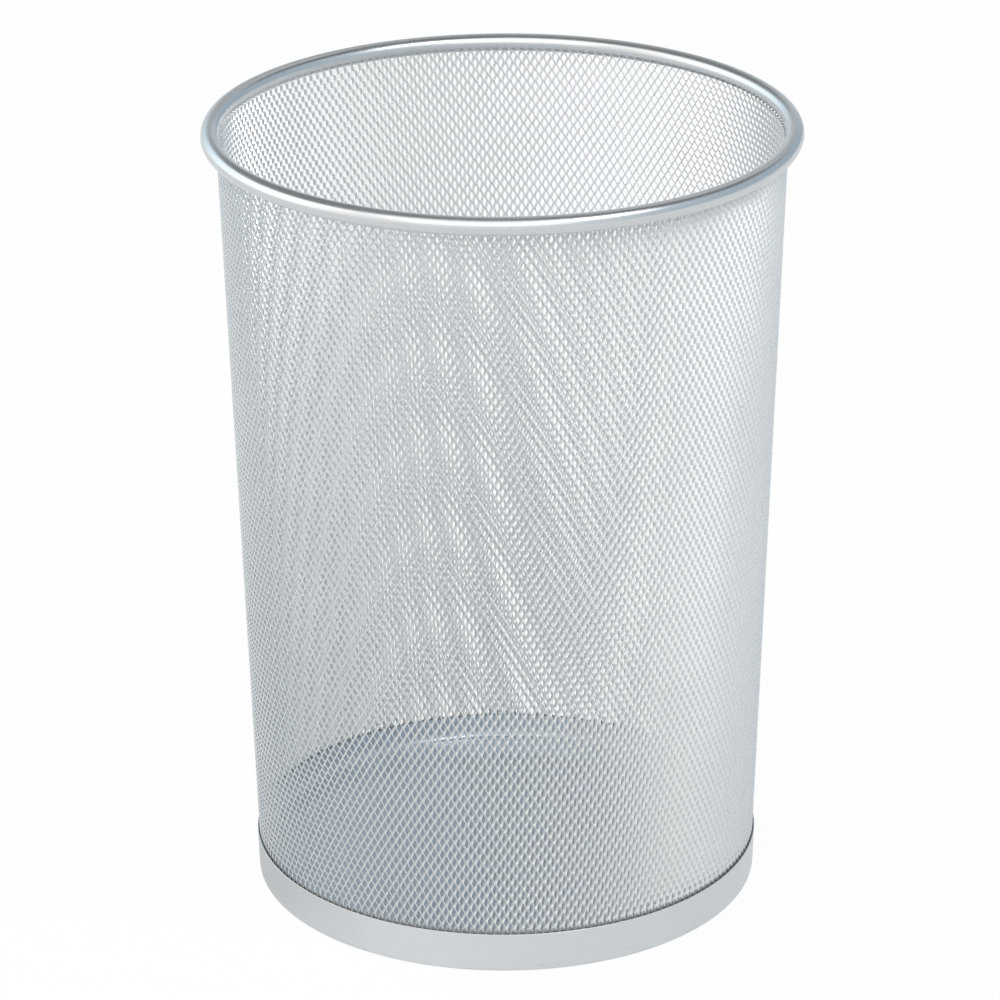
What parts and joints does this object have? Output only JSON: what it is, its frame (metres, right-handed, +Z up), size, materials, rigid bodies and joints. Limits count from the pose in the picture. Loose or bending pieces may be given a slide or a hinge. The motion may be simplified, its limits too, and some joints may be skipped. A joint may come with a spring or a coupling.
{
  "type": "wastebasket",
  "caption": "Round, slightly tapered open wastebasket of expanded steel mesh with a rolled tubular rim, a smooth band round the foot and a raised solid floor.",
  "frame": {"origin": "on the ground, at the middle of the foot ring, on the basket's axis", "axes": "+Z up along the axis towards the open mouth; the basket is round, so +X and +Y are alike, and -Y is the side the picture shows"},
  "size_m": [0.28, 0.28, 0.381],
  "materials": {
    "bead": "glossy silver paint on rolled steel strip",
    "mesh": "satin silver paint on expanded steel mesh",
    "band": "satin silver paint on sheet steel",
    "floor": "satin silver paint on pressed sheet steel"
  },
  "bodies": {
    "root": {"rim_bead": "bead", "mesh_panel_1": "mesh", "mesh_panel_2": "mesh", "mesh_panel_3": "mesh", "mesh_panel_4": "mesh", "mesh_panel_5": "mesh", "mesh_panel_6": "mesh", "mesh_panel_7": "mesh", "mesh_panel_8": "mesh", "mesh_panel_9": "mesh", "mesh_panel_10": "mesh", "mesh_panel_11": "mesh", "mesh_panel_12": "mesh", "mesh_panel_13": "mesh", "mesh_panel_14": "mesh", "base_band": "band", "floor_pan": "floor"}
  },
  "joints": []
}
